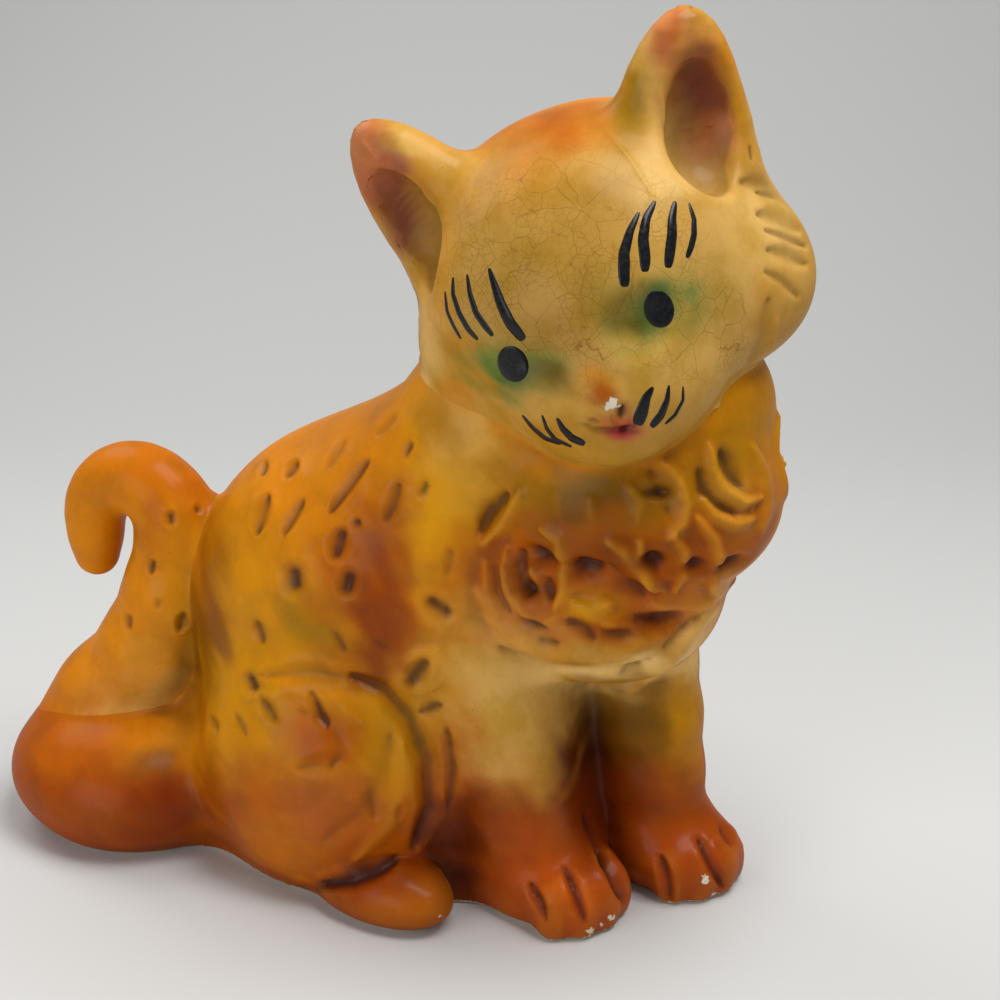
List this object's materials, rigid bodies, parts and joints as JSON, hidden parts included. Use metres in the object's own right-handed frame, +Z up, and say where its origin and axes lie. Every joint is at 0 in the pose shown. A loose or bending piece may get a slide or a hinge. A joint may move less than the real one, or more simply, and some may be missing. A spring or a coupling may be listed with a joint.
{
  "type": "chalkware cat figure",
  "caption": "Seated kitten figure cast hollow in painted plaster, with a ruff of curls, a turned head and a looped tail, for display on a shelf.",
  "frame": {"origin": "centre of the plugged pour hole, on the face that the figure stands on", "axes": "+Z up, +X along the body towards the chest, -Y out of the near flank, over which the head looks"},
  "size_m": [0.2609, 0.1184, 0.2716],
  "materials": {
    "torso_plaster": "airbrushed paint under gloss varnish",
    "head_plaster": "airbrushed paint under gloss varnish, crazed",
    "tail_plaster": "airbrushed paint under gloss varnish",
    "iron_wire": "plain drawn wire",
    "raw_plaster": "bare plaster"
  },
  "bodies": {
    "root": {"torso_casting": "torso_plaster", "head_casting": "head_plaster", "tail_casting": "tail_plaster", "tail_wire": "iron_wire", "base_plug": "raw_plaster"}
  },
  "joints": []
}
